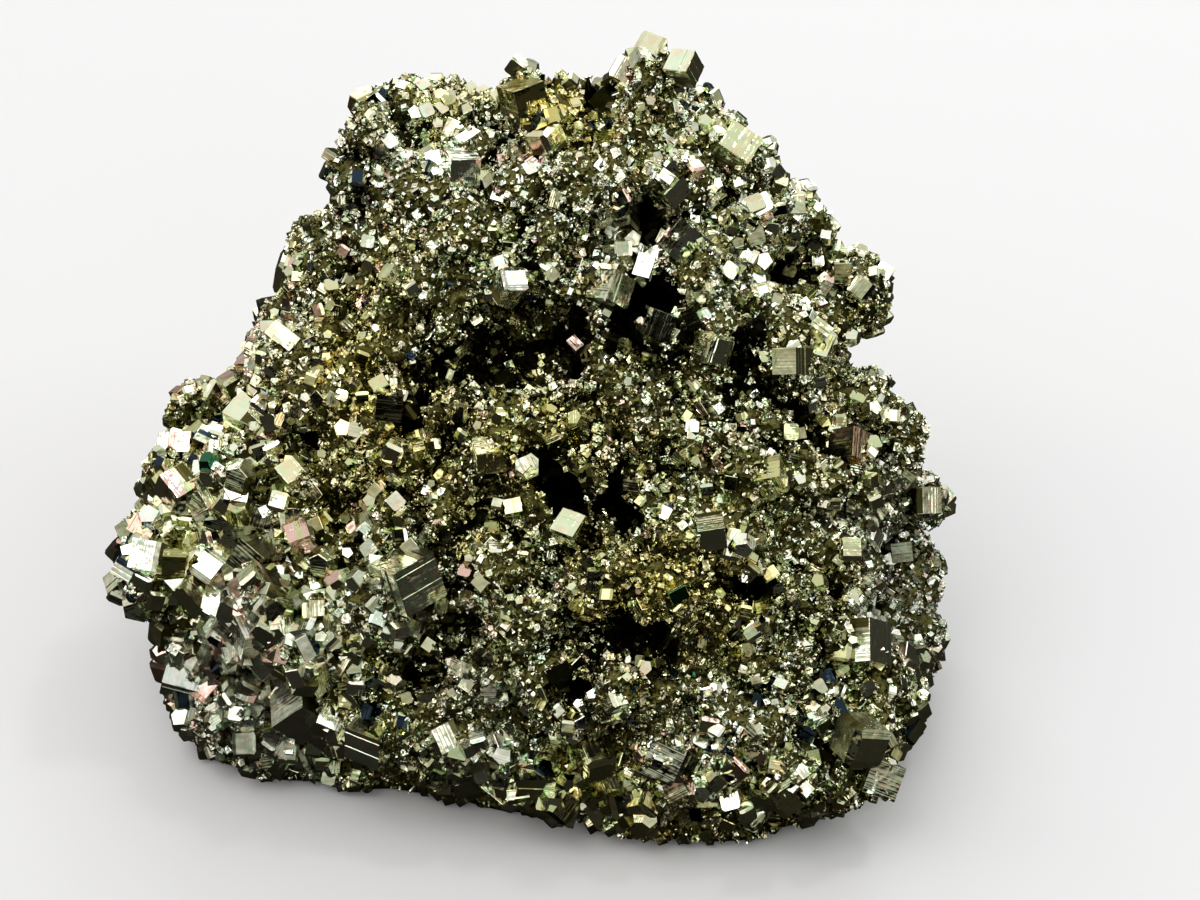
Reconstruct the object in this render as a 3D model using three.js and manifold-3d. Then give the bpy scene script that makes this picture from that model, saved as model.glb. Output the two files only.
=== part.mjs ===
// A pyrite specimen: one lumpy mass of intergrown iron pyrite, as broken from its vein.
// Rounded knobs crowd a steep-sided mound, with dark clefts between them and deeper cavities
// in places. The largest crystals, cubes, pyritohedra and the forms between the two, stand
// out of the knobs. All of it grew together, so it is one solid that rests on a flat break.
//
// Millimetres, +Z up. The origin is at the centre of the base. The broad face that slopes
// back to the ridge looks towards -Y.

import * as THREE from "three";
import { ConvexGeometry } from "three/addons/geometries/ConvexGeometry.js";
import { mergeVertices } from "three/addons/utils/BufferGeometryUtils.js";
import Module from "manifold-3d";

const wasm = await Module();
wasm.setup();

// ---- Driving dimensions ------------------------------------------------------------------

const MOUND_TURN = -13; // degrees that the mound's footprint is turned about Z
const MOUND_SQUARENESS = 2.6; // 2 is an ellipse, more is a rounder-cornered rectangle
const MOUND_ROUND = 26; // vertices round one cross-section
const KNOB_SUNK = 0.42; // share of a knob's radius that its centre lies inside the mound
const KNOB_BREADTH = 1.3; // how many times broader a knob is than it is thick
const KNOB_WOBBLE = 0.1; // share of its radius that a knob is out of round
const KNOB_FACETS = 2; // times that an icosahedron's edges are split for a knob
const MASS_FACETS = 13; // and for the skin that is drawn over mound and knobs
const ROUGHNESS = 0.5; // how far that skin is roughened, in millimetres

// The mound's cross-sections: height, centre x and y, half width and half depth.
const SECTIONS = [
  { z: -4, x: 1.5, y: 0, wide: 36.5, deep: 27.5 },
  { z: 3, x: 1.5, y: 0.5, wide: 40.5, deep: 31 },
  { z: 12, x: 1.5, y: 0, wide: 43, deep: 33.5 },
  { z: 22, x: 0.5, y: 1, wide: 43, deep: 31.5 },
  { z: 34, x: 0.5, y: 5, wide: 39.5, deep: 26.5 },
  { z: 46, x: 3, y: 9, wide: 32.5, deep: 20.5 },
  { z: 58, x: 3, y: 13, wide: 26, deep: 15 },
  { z: 66, x: 1.5, y: 16, wide: 20, deep: 9 },
  { z: 69, x: 3.5, y: 17, wide: 10, deep: 4 },
];

// Knobs on the broad face and the two sides: bearing in degrees from +X, height, radius, and
// for one that stands further out than the mound, how many times as far from the axis.
const FACE_KNOBS = [
  // along the ridge
  [336, 72, 5.5, 1.5], [344, 67, 6, 1.38], [300, 71, 4.5], [250, 71.5, 4.5], [215, 69, 4.5],
  [182, 66.5, 5, 1.27], [190, 61, 5], [350, 65, 5, 1.26], [216, 60, 5.5], [276, 64, 7], [318, 65, 7],
  // the upper face and its shoulders
  [176, 55, 5.5], [4, 59, 5.5, 1.08], [356, 58, 4, 1.15], [356, 51, 5.5, 1.2], [170, 52, 3.5],
  [190, 53, 5.5], [216, 57, 6.5], [258, 58, 6], [314, 56, 5.5], [328, 51, 5.5],
  [2, 46, 4, 1.1], [168, 44, 3],
  // the middle, with the upright rib near its centre
  [198, 43, 7.5], [160, 36, 3], [234, 40, 8], [258, 43, 6], [286, 48, 7], [284, 41, 7],
  [316, 42, 7.5], [340, 44, 5.5], [352, 39, 4, 1.14], [352, 33, 5.5, 1.1], [336, 33, 7],
  [308, 33, 6], [244, 33, 7], [194, 32, 6], [180, 32, 5, 1.07],
  // the lower face
  [186, 26, 5.5, 1.1], [192, 23, 5.5, 1.15], [196, 18, 4, 1.1], [198, 20, 6], [220, 23, 7],
  [236, 27, 7.5], [270, 29, 5.5], [292, 31, 8], [324, 25, 7], [290, 23, 7], [274, 17, 5.5],
  [260, 20, 5.5], [238, 18, 7], [2, 22, 5, 1.1], [2, 13, 6, 1.06],
  // along the foot
  [192, 8, 5.5], [199, 8, 5.5, 1.07], [206, 5, 6, 1.13], [212, 3, 5.5, 1.1], [226, 4, 5], [248, 9, 4.5],
  [262, 9, 4.5], [276, 7, 5.5], [291, 6, 6, 1.05], [304, 4, 6.5, 1.06], [306, 15, 7], [317, 4, 5.5, 1.1],
  [314, 10, 6, 1.17], [330, 4, 5.5, 1.12], [328, 14, 6, 1.1], [346, 4, 5.5, 1.15], [352, 7, 6, 1.14],
];

// Knobs on the side that looks towards +Y are set out by turning from each to the next.
const BACK_KNOBS = 30;
const BACK_FROM = 26; // bearing at which they start, in degrees
const BACK_SPAN = 126;
const BACK_TOP = 64; // height of the highest
const GOLDEN = (Math.sqrt(5) - 1) / 2;

// Cavities and crystals are placed by looking out from the heart of the mass: azimuth from
// +X and elevation, in degrees.
const HEART = new THREE.Vector3(2, 6, 32);
const OUTSIDE = 100; // a distance from the heart that is clear of the whole mass

// Deep cavities: azimuth, elevation, radius.
const CAVITIES = [
  [-107, -12, 2.5], [-86, -17, 2.5], [-111, -17, 2], [-27, 68, 2.5], [-112, 58, 4],
  [-84, 55, 3.5], [-44, 58, 2.5], [-31, 35, 2.5], [-178, 44, 2], [0, 39, 2.5],
  [-88, 18, 2.5], [-54, -3, 2], [-72, -6, 2],
];
const CAVITY_WIDTHS = [1.4, 0.8, 1.4]; // of its radius: along the surface, across it, and inwards
const CAVITY_WOBBLE = 0.3;
const CAVITY_FACETS = 1;
const CAVITY_TURN = 50; // degrees that each cavity is turned from the last

// The largest crystals: azimuth, elevation, breadth, form.
const CUBE = "cube";
const PYRITOHEDRON = "pyritohedron";
const BETWEEN = "between the two";
const CRYSTALS = [
  // on the ridge and the upper face
  [162, 73, 3.5, CUBE], [117, 82, 4, CUBE], [93, 87, 3.5, BETWEEN], [18, 70, 3, CUBE],
  [1, 60, 4, CUBE], [-22, 59, 4, CUBE], [-53, 64, 3.5, CUBE], [-110, 67, 3, BETWEEN],
  [-47, 51, 3, CUBE], [-138, 29, 3, CUBE], [-170, 37, 2.5, PYRITOHEDRON],
  // a crowd of them on the left
  [-135, -3, 3.5, PYRITOHEDRON], [-157, 4, 4, PYRITOHEDRON], [-155, -2, 3.5, PYRITOHEDRON],
  [-142, -2, 3, CUBE], [-151, 6, 3, CUBE], [-164, -1, 3.5, CUBE], [-149, -7, 3.5, CUBE],
  [-158, -7, 3.5, CUBE], [-126, -3, 3, PYRITOHEDRON], [-142, -8, 4, CUBE], [-145, -14, 3, CUBE],
  [-117, -1, 5.5, CUBE],
  // in the middle and on the right
  [-95, 23, 3, PYRITOHEDRON], [-106, 25, 3, CUBE], [-84, 9, 3, CUBE], [-58, 9, 3, CUBE],
  [-44, 15, 3, CUBE], [-54, 6, 3, PYRITOHEDRON], [-38, 40, 3.5, BETWEEN], [-27, 30, 3, CUBE],
  [-14, 12, 2.5, PYRITOHEDRON], [-23, 10, 3.5, CUBE], [-9, -8, 3, CUBE], [-41, -11, 5, CUBE],
  // along the foot
  [-129, -16, 4, CUBE], [-133, -25, 5, CUBE], [-119, -25, 4.5, CUBE], [-107, -23, 3, CUBE],
  [-82, -24, 4, BETWEEN], [-72, -23, 4, CUBE], [-49, -16, 5, BETWEEN], [-46, -22, 4, CUBE],
  [-58, -22, 4, BETWEEN],
];
const CRYSTAL_SUNK = 0.05; // share of its breadth that a crystal's centre lies under the surface
const CRYSTAL_TURNS = [137.5, 97, 61]; // degrees turned about X, Y and Z from each to the next
const BETWEEN_CUT = 1.3; // breadth of the pyritohedron that trims a cube to the form between

// Crystals on the side that looks towards +Y are set out in the same way as its knobs.
const BACK_CRYSTALS = 18;
const BACK_LOW = -30; // elevation of the lowest
const BACK_HIGH = 55;

// The break left shallow hollows in the underside, set out by turning from each to the next.
const HOLLOWS = 9;
const HOLLOW_SPREAD = { wide: 30, deep: 21 }; // how far from the middle the last one lies
const HOLLOW_TURN = 137.5; // degrees
const HOLLOW_RADII = { least: 3.5, most: 7 };
const HOLLOW_DEPTH = 1.8;

// ---- The mound ---------------------------------------------------------------------------

const radians = THREE.MathUtils.degToRad;

// The cross-section at height z, between the two listed ones on either side of it.
function sectionAt(z) {
  const above = SECTIONS.findIndex((s) => s.z > z);
  const high = SECTIONS[above < 0 ? SECTIONS.length - 1 : Math.max(above, 1)];
  const low = SECTIONS[SECTIONS.indexOf(high) - 1];
  const share = THREE.MathUtils.clamp((z - low.z) / (high.z - low.z), 0, 1);
  const mix = (key) => THREE.MathUtils.lerp(low[key], high[key], share);
  return { x: mix("x"), y: mix("y"), wide: mix("wide"), deep: mix("deep") };
}

// The point of the mound's surface at a bearing and a height.
function moundPoint(bearing, z, reach = 1) {
  const s = sectionAt(z);
  const turned = radians(bearing - MOUND_TURN);
  const n = MOUND_SQUARENESS;
  const across = Math.abs(Math.cos(turned) / s.wide) ** n + Math.abs(Math.sin(turned) / s.deep) ** n;
  const radius = reach / across ** (1 / n);
  const out = radians(bearing);
  return new THREE.Vector3(s.x + radius * Math.cos(out), s.y + radius * Math.sin(out), z);
}

// The mound's outward normal there.
function moundNormal(bearing, z) {
  const step = 2;
  const along = moundPoint(bearing + step, z).sub(moundPoint(bearing - step, z));
  const up = moundPoint(bearing, z + step).sub(moundPoint(bearing, z - step));
  return along.cross(up).normalize();
}

// A sphere whose rings are moved out to the cross-sections.
function moundGeometry() {
  const rings = SECTIONS.length;
  const geometry = new THREE.SphereGeometry(1, MOUND_ROUND, rings + 1);
  geometry.rotateX(Math.PI / 2);
  const at = geometry.attributes.position;
  const ring = Math.PI / (rings + 1);
  for (let i = 0; i < at.count; i++) {
    const p = new THREE.Vector3().fromBufferAttribute(at, i);
    const down = Math.round(Math.acos(THREE.MathUtils.clamp(p.z, -1, 1)) / ring);
    const k = THREE.MathUtils.clamp(rings - down, 0, rings - 1);
    const pole = down === 0 || down === rings + 1;
    const bearing = THREE.MathUtils.radToDeg(Math.atan2(p.y, p.x));
    const place = moundPoint(bearing, SECTIONS[k].z, pole ? 0 : 1);
    if (pole) place.z += down === 0 ? 1 : -1;
    at.setXYZ(i, place.x, place.y, place.z);
  }
  return geometry;
}

// ---- Solids ------------------------------------------------------------------------------

function solidOf(geometry) {
  const bare = geometry.clone();
  bare.deleteAttribute("normal");
  bare.deleteAttribute("uv");
  const merged = mergeVertices(bare, 1e-4);
  const triVerts = merged.index
    ? new Uint32Array(merged.index.array)
    : Uint32Array.from({ length: merged.attributes.position.count }, (_, i) => i);
  const vertProperties = merged.attributes.position.array;
  return new wasm.Manifold(new wasm.Mesh({ numProp: 3, vertProperties, triVerts }));
}

function geometryOf(solid) {
  const mesh = solid.getMesh();
  const geometry = new THREE.BufferGeometry();
  geometry.setAttribute("position", new THREE.BufferAttribute(mesh.vertProperties, 3));
  geometry.setIndex(new THREE.BufferAttribute(mesh.triVerts, 1));
  const flat = geometry.toNonIndexed();
  flat.computeVertexNormals();
  return flat;
}

// A sphere knocked out of round by a share of its radius, and no two of them alike.
function lumpGeometry(radius, facets, wobble, seed) {
  const geometry = new THREE.IcosahedronGeometry(radius, facets);
  const at = geometry.attributes.position;
  for (let i = 0; i < at.count; i++) {
    const p = new THREE.Vector3().fromBufferAttribute(at, i);
    const q = p.clone().divideScalar(radius);
    const wave = Math.sin(4.1 * q.x + seed) + Math.sin(3.7 * q.y + 2 * seed) + Math.sin(4.6 * q.z - seed);
    p.multiplyScalar(1 + (wobble * wave) / 2);
    at.setXYZ(i, p.x, p.y, p.z);
  }
  return geometry;
}

// A knob, flattened against the mound, with its centre sunk under the mound's surface.
function knobSolid([bearing, height, radius, reach = 1], seed) {
  const normal = moundNormal(bearing, height);
  const centre = moundPoint(bearing, height, reach).addScaledVector(normal, -KNOB_SUNK * radius);
  const geometry = lumpGeometry(radius, KNOB_FACETS, KNOB_WOBBLE, seed);
  geometry.scale(KNOB_BREADTH, KNOB_BREADTH, 1);
  const turn = new THREE.Quaternion().setFromUnitVectors(new THREE.Vector3(0, 0, 1), normal);
  return solidOf(geometry.applyQuaternion(turn).translate(centre.x, centre.y, centre.z));
}

function backKnobs() {
  return Array.from({ length: BACK_KNOBS }, (_, i) => {
    const height = 3 + (BACK_TOP - 3) * ((i + 0.5) / BACK_KNOBS);
    const bearing = BACK_FROM + BACK_SPAN * ((i * GOLDEN) % 1);
    const radius = 5 + 3 * ((i * GOLDEN * 5) % 1);
    return [bearing, height, radius];
  });
}

// Everything under z = 0, to be cut away.
function groundSolid() {
  const size = 300;
  const block = new THREE.BoxGeometry(size, size, size);
  return solidOf(block.translate(0, 0, -size / 2));
}

// The direction of a line of sight from the heart.
function outwards(azimuth, elevation) {
  const level = Math.cos(radians(elevation));
  const [x, y] = [Math.cos(radians(azimuth)), Math.sin(radians(azimuth))];
  return new THREE.Vector3(level * x, level * y, Math.sin(radians(elevation)));
}

// Where a line from the heart along a direction last leaves the surface of a mesh.
function surfacePoint(mesh, direction) {
  const start = HEART.clone().addScaledVector(direction, OUTSIDE);
  const ray = new THREE.Raycaster(start, direction.clone().negate());
  return ray.intersectObject(mesh)[0].point;
}

// One even skin of facets drawn over the joined mound and knobs, and roughened.
function skinGeometry(solid) {
  const under = new THREE.Mesh(geometryOf(solid), new THREE.MeshBasicMaterial());
  const geometry = new THREE.IcosahedronGeometry(1, MASS_FACETS);
  const at = geometry.attributes.position;
  const known = new Map();
  for (let i = 0; i < at.count; i++) {
    const direction = new THREE.Vector3().fromBufferAttribute(at, i).normalize();
    const key = direction.toArray().map((c) => c.toFixed(4)).join();
    if (!known.has(key)) {
      const p = surfacePoint(under, direction);
      const wave = Math.sin(1.3 * p.x + 0.7 * p.z) + Math.sin(1.1 * p.y - 0.9 * p.x) + Math.sin(1.2 * p.z);
      known.set(key, p.addScaledVector(direction, (ROUGHNESS * wave) / 2));
    }
    const p = known.get(key);
    at.setXYZ(i, p.x, p.y, p.z);
  }
  return geometry;
}

// ---- Crystals ----------------------------------------------------------------------------

// A unit pyritohedron: twelve alike five-sided faces.
function pyritohedronGeometry() {
  const signs = [-1, 1];
  const corners = signs.flatMap((a) => signs.flatMap((b) => signs.map((c) => [a / 3, b / 3, c / 3])));
  const edges = signs.flatMap((a) => signs.flatMap((b) => {
    const [far, near] = [a / 2, b / 4];
    return [[0, far, near], [near, 0, far], [far, near, 0]];
  }));
  return new ConvexGeometry([...corners, ...edges].map((c) => new THREE.Vector3(...c)));
}

function crystalForm(form) {
  const cube = new THREE.BoxGeometry(1, 1, 1);
  if (form === CUBE) return solidOf(cube);
  if (form === PYRITOHEDRON) return solidOf(pyritohedronGeometry());
  const trim = pyritohedronGeometry().scale(BETWEEN_CUT, BETWEEN_CUT, BETWEEN_CUT);
  return solidOf(cube).intersect(solidOf(trim));
}

function crystalSolid(ground, [azimuth, elevation, breadth, form], index) {
  const direction = outwards(azimuth, elevation);
  const centre = surfacePoint(ground, direction).addScaledVector(direction, -CRYSTAL_SUNK * breadth);
  const turns = CRYSTAL_TURNS.map((turn) => radians(turn * (index + 1)));
  const geometry = geometryOf(crystalForm(form)).scale(breadth, breadth, breadth);
  geometry.rotateX(turns[0]).rotateY(turns[1]).rotateZ(turns[2]);
  return solidOf(geometry.translate(centre.x, centre.y, centre.z));
}

function backCrystals() {
  const forms = [CUBE, PYRITOHEDRON, BETWEEN];
  return Array.from({ length: BACK_CRYSTALS }, (_, i) => {
    const elevation = THREE.MathUtils.lerp(BACK_LOW, BACK_HIGH, (i + 0.5) / BACK_CRYSTALS);
    const azimuth = BACK_FROM + BACK_SPAN * ((i * GOLDEN) % 1);
    const breadth = 3 + 2 * ((i * GOLDEN * 3) % 1);
    return [azimuth, elevation, breadth, forms[i % forms.length]];
  });
}

// ---- Cavities and hollows ----------------------------------------------------------------

function cavitySolid(ground, [azimuth, elevation, radius], index) {
  const direction = outwards(azimuth, elevation);
  const centre = surfacePoint(ground, direction);
  const geometry = lumpGeometry(radius, CAVITY_FACETS, CAVITY_WOBBLE, index);
  geometry.scale(...CAVITY_WIDTHS).rotateZ(radians(CAVITY_TURN * index));
  const turn = new THREE.Quaternion().setFromUnitVectors(new THREE.Vector3(0, 0, 1), direction);
  return solidOf(geometry.applyQuaternion(turn).translate(centre.x, centre.y, centre.z));
}

function hollowSolid(index) {
  const bearing = radians(HOLLOW_TURN * index);
  const reach = Math.sqrt((index + 1) / HOLLOWS);
  const radius = THREE.MathUtils.lerp(HOLLOW_RADII.least, HOLLOW_RADII.most, (index * GOLDEN) % 1);
  const geometry = lumpGeometry(radius, CAVITY_FACETS, CAVITY_WOBBLE, index);
  geometry.scale(1, 1, HOLLOW_DEPTH / radius);
  const x = HOLLOW_SPREAD.wide * reach * Math.cos(bearing);
  const y = HOLLOW_SPREAD.deep * reach * Math.sin(bearing);
  return solidOf(geometry.translate(x, y, 0));
}

// ---- The specimen ------------------------------------------------------------------------

const knobs = [...FACE_KNOBS, ...backKnobs()].map(knobSolid);
const joined = knobs.reduce((whole, knob) => whole.add(knob), solidOf(moundGeometry()));
let mass = solidOf(skinGeometry(joined)).subtract(groundSolid());

const skin = new THREE.Mesh(geometryOf(mass), new THREE.MeshBasicMaterial());
CAVITIES.forEach((cavity, i) => {
  mass = mass.subtract(cavitySolid(skin, cavity, i));
});
[...CRYSTALS, ...backCrystals()].forEach((crystal, i) => {
  mass = mass.add(crystalSolid(skin, crystal, i));
});
mass = mass.subtract(groundSolid());
for (let i = 0; i < HOLLOWS; i++) mass = mass.subtract(hollowSolid(i));

// Centre the footprint on the origin.
const { min, max } = mass.boundingBox();
mass = mass.translate([-(min[0] + max[0]) / 2, -(min[1] + max[1]) / 2, 0]);

const material = new THREE.MeshStandardMaterial({
  color: 0xb5b088,
  roughness: 0.3,
  metalness: 1,
});
const cluster = new THREE.Mesh(geometryOf(mass), material);
cluster.name = "pyrite_cluster";

const specimen = new THREE.Group();
specimen.add(cluster);

export default specimen;
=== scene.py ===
# A pyrite specimen: a lumpy mass under a druse of small bright crystals, with larger
# striated cubes and pyritohedra among them and dark clefts between the knobs.
# Lengths are in metres; MM turns a length in millimetres into metres.

import math
from dataclasses import dataclass

import bmesh
import bpy
import numpy as np
from mathutils import Matrix, Vector, kdtree, noise
from mathutils.bvhtree import BVHTree


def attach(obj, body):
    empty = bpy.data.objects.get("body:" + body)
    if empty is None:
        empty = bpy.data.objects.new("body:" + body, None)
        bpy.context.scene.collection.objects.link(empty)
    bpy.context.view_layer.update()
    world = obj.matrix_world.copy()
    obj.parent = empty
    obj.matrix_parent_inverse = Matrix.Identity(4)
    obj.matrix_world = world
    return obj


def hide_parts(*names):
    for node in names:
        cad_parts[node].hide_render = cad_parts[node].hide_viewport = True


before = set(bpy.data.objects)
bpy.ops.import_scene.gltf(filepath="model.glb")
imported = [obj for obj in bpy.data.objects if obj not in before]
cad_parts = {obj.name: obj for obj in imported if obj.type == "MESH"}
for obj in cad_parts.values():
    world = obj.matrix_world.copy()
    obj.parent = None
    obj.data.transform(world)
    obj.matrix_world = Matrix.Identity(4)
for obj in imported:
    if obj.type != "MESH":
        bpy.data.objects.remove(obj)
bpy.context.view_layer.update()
noise.seed_set(3)  # noise vectors would otherwise differ from run to run

MM = 0.001
NODE = "pyrite_cluster"
BODY = "root"

# ---- Where things are --------------------------------------------------------------------

HEART = Vector((1.44, 6.30, 32.0)) * MM  # crystals and cavities are placed by looking out from it
OUTSIDE = 100 * MM  # a distance from the heart that is clear of the whole mass

ORDER = CUBE, PYRITOHEDRON, BETWEEN = "cube", "pyritohedron", "between"

# The largest crystals, where the solid model has them: azimuth, elevation, breadth, form.
LARGEST = [
    # on the ridge and the upper face
    (162, 73, 3.5, CUBE), (117, 82, 4, CUBE), (93, 87, 3.5, BETWEEN), (18, 70, 3, CUBE),
    (1, 60, 4, CUBE), (-22, 59, 4, CUBE), (-53, 64, 3.5, CUBE), (-110, 67, 3, BETWEEN),
    (-47, 51, 3, CUBE), (-138, 29, 3, CUBE), (-170, 37, 2.5, PYRITOHEDRON),
    # a crowd of them on the left
    (-135, -3, 3.5, PYRITOHEDRON), (-157, 4, 4, PYRITOHEDRON), (-155, -2, 3.5, PYRITOHEDRON),
    (-142, -2, 3, CUBE), (-151, 6, 3, CUBE), (-164, -1, 3.5, CUBE), (-149, -7, 3.5, CUBE),
    (-158, -7, 3.5, CUBE), (-126, -3, 3, PYRITOHEDRON), (-142, -8, 4, CUBE), (-145, -14, 3, CUBE),
    (-117, -1, 5.5, CUBE),
    # in the middle and on the right
    (-95, 23, 3, PYRITOHEDRON), (-106, 25, 3, CUBE), (-84, 9, 3, CUBE), (-58, 9, 3, CUBE),
    (-44, 15, 3, CUBE), (-54, 6, 3, PYRITOHEDRON), (-38, 40, 3.5, BETWEEN), (-27, 30, 3, CUBE),
    (-14, 12, 2.5, PYRITOHEDRON), (-23, 10, 3.5, CUBE), (-9, -8, 3, CUBE), (-41, -11, 5, CUBE),
    # along the foot
    (-129, -16, 4, CUBE), (-133, -25, 5, CUBE), (-119, -25, 4.5, CUBE), (-107, -23, 3, CUBE),
    (-82, -24, 4, BETWEEN), (-72, -23, 4, CUBE), (-49, -16, 5, BETWEEN), (-46, -22, 4, CUBE),
    (-58, -22, 4, BETWEEN),
]
BACK_CRYSTALS = 18
BACK_FROM, BACK_SPAN = 26, 126  # bearings of the side that looks towards +Y
BACK_LOW, BACK_HIGH = -30, 55  # elevations
GOLDEN = (math.sqrt(5) - 1) / 2
CRYSTAL_TURNS = (137.5, 97, 61)  # degrees about X, Y and Z from each to the next

# Deep cavities: azimuth, elevation, radius.
CAVITIES = [
    (-107, -12, 2.5), (-86, -17, 2.5), (-111, -17, 2), (-27, 68, 2.5), (-112, 58, 4),
    (-84, 55, 3.5), (-44, 58, 2.5), (-31, 35, 2.5), (-178, 44, 2), (0, 39, 2.5),
    (-88, 18, 2.5), (-54, -3, 2), (-72, -6, 2),
]

# Clefts between knobs, traced over the surface: width and depth in mm, then azimuth and
# elevation of the points that each one runs through.
CLEFTS = [
    (2.8, 4.8, [(-134, 30), (-137, 43), (-127, 54), (-98, 54), (-76, 54), (-55, 57), (-38, 56)]),
    (2.0, 3.6, [(-32, 28), (-29, 21), (-25, 12)]),
    (1.8, 3.6, [(-90, 22), (-86, 12), (-84, 7)]),
    (1.6, 3.2, [(-78, 14), (-67, 13), (-57, 16)]),
    (1.8, 3.0, [(-153, 13), (-154, 1), (-152, -8)]),
    (2.0, 3.0, [(-107, -13), (-113, -15), (-106, -16)]),
    (1.8, 2.6, [(-60, 2), (-48, -5)]),
    (1.6, 3.0, [(173, 52), (161, 59)]),
]

# Places with a look of their own, and places with painted light: centre, half width in each
# direction, how much.
COARSE_PLACES = [
    ((-38, -14, 22), (18, 22, 20), 1.0),  # the left of the broad face
    ((-5, -32, 6), (50, 14, 9), 0.7),  # along the foot
    ((12, 22, 76), (28, 14, 9), 0.5),  # the ridge
    ((22, 8, 58), (16, 12, 10), 0.45),  # the upper right
    ((0, 36, 25), (45, 10, 26), 0.5),  # parts of the back
]
GOLDEN_PLACES = [
    ((3, 8, 72), (9, 8, 6), 1.0),  # the dip in the ridge
    ((-24, -2, 49), (10, 8, 8), 0.5),  # under the main cleft
    ((-12, -16, 43), (14, 10, 8), 0.8),
    ((-7, -20, 37), (10, 8, 6), 0.8),
    ((10, -28, 34), (16, 12, 7), 0.7),  # the middle of the face
]
# painted light: these places are drawn brighter and less shaded than the rest
PAINTED_LIGHT_PLACES = [
    ((0, 12, 69), (32, 15, 12), 1.0),  # the ridge
    ((22, 5, 56), (14, 12, 9), 0.8),  # the upper right
    ((-24, -3, 48), (9, 8, 7), 0.9),  # a knob on the left
    ((45, -3, 20), (8, 16, 16), 0.8),  # the right side
    ((23, -35, 15), (12, 8, 6), 0.8),  # low on the right
]
GREY_PLACES = [
    ((-34, -22, 12), (16, 12, 14), 0.9),  # low on the left
    ((-27, -26, 24), (9, 8, 8), 0.8),
    ((-18, -25, 29), (8, 8, 7), 0.9),
    ((-6, -33, 18), (12, 8, 8), 0.6),  # above the foot
    ((44, -3, 18), (10, 16, 16), 0.9),  # the right side
]

# ---- The mass ----------------------------------------------------------------------------

SKIN_VOXEL = 0.85 * MM
SKIN_SMOOTHING = 4
SUNK = 0.7  # mm that the skin lies inside the solid model's, to leave room for crystals
KNOB_BREADTH, KNOB_RISE = 9.0, 2.7  # mm
LUMP_BREADTH, LUMP_RISE = 4.0, 1.3
ROUNDNESS = 1.9  # how steeply knobs and lumps fall away from their middles
LEVEL = 0.6  # the height on a knob or lump that leaves the skin where it is
SEAM_WIDTH, SEAM_DEPTH = 0.14, 2.8  # share of a knob's breadth, and mm
SEAM_PATCH = 13 * MM  # breadth of the patches in which the seams are open or shut
SEAM_OPENS = (-0.25, 0.25)  # the patches' noise between which they open
CLEFT_STEP = 0.2  # share of the way between two points of a cleft
PIT_BREADTH, PIT_DEPTH = 0.9, 3.6  # share of a cavity's radius, and mm that it is sunk further
WARP = 2.0 * MM  # how far the edges of cavities and clefts wander
WARP_BREADTH = 3.5 * MM
FOOT = (0.4, 3.0)  # mm above the floor between which shaping fades in


def smoothstep(low, high, value):
    share = np.clip((value - low) / (high - low), 0, 1)
    return share * share * (3 - 2 * share)


def direction(azimuth, elevation):
    a, e = math.radians(azimuth), math.radians(elevation)
    return Vector((math.cos(e) * math.cos(a), math.cos(e) * math.sin(a), math.sin(e)))


def solid_copy():
    """The solid model's skin as a closed bmesh."""
    bm = bmesh.new()
    bm.from_mesh(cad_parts[NODE].data)
    bmesh.ops.remove_doubles(bm, verts=bm.verts, dist=1e-6)
    return bm


def new_object(name, data):
    piece = bpy.data.objects.new(name, data)
    bpy.context.collection.objects.link(piece)
    return piece


def even_skin(bm):
    """The bmesh remade as an even skin of small faces."""
    mesh = bpy.data.meshes.new("rough")
    bm.to_mesh(mesh)
    rough = new_object("rough", mesh)
    remesh = rough.modifiers.new("even", "REMESH")
    remesh.mode = "VOXEL"
    remesh.voxel_size = SKIN_VOXEL
    graph = bpy.context.evaluated_depsgraph_get()
    skin = bpy.data.meshes.new_from_object(rough.evaluated_get(graph))
    bpy.data.objects.remove(rough)
    bm = bmesh.new()
    bm.from_mesh(skin)
    every_way = {"use_axis_x": True, "use_axis_y": True, "use_axis_z": True}
    for _ in range(SKIN_SMOOTHING):
        bmesh.ops.smooth_vert(bm, verts=bm.verts, factor=0.5, **every_way)
    bm.to_mesh(skin)
    bm.free()
    return skin


def vertex_arrays(mesh):
    points = np.empty(len(mesh.vertices) * 3)
    mesh.vertices.foreach_get("co", points)
    normals = np.empty(len(mesh.vertices) * 3)
    mesh.vertex_normals.foreach_get("vector", normals)
    return points.reshape(-1, 3), normals.reshape(-1, 3)


def lumps(point, breadth):
    """Height of a round lump, 1 at its middle, and the nearness of the border between two."""
    near, next_near = noise.voronoi(Vector(point) / (breadth * MM))[0][:2]
    return 1 - ROUNDNESS * near * near, next_near - near


def relief(point):
    """How far the skin stands out of the sunk one, in mm."""
    knob, border = lumps(point, KNOB_BREADTH)
    lump, _ = lumps(point, LUMP_BREADTH)
    opened = smoothstep(*SEAM_OPENS, noise.noise(Vector(point) / SEAM_PATCH))
    seam = math.exp(-((border / SEAM_WIDTH) ** 2)) * opened
    return KNOB_RISE * (knob - LEVEL) + LUMP_RISE * (lump - LEVEL) - SEAM_DEPTH * seam


def looked_at(tree, azimuth, elevation):
    """The outermost place on the surface in that direction from the heart."""
    out = direction(azimuth, elevation)
    return np.array(tree.ray_cast(HEART + out * OUTSIDE, -out)[0])


def sunk_spots(tree):
    """Places where the surface is sunk, close together along each cleft: where, width, depth."""
    spots = []
    for width, depth, looks in CLEFTS:
        for (a0, e0), (a1, e1) in zip(looks, looks[1:]):
            for share in np.arange(0, 1, CLEFT_STEP):
                place = looked_at(tree, a0 + (a1 - a0) * share, e0 + (e1 - e0) * share)
                spots.append((place, width * MM, depth))
    for azimuth, elevation, radius in CAVITIES:
        spots.append((looked_at(tree, azimuth, elevation), PIT_BREADTH * radius * MM, PIT_DEPTH))
    return spots


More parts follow.
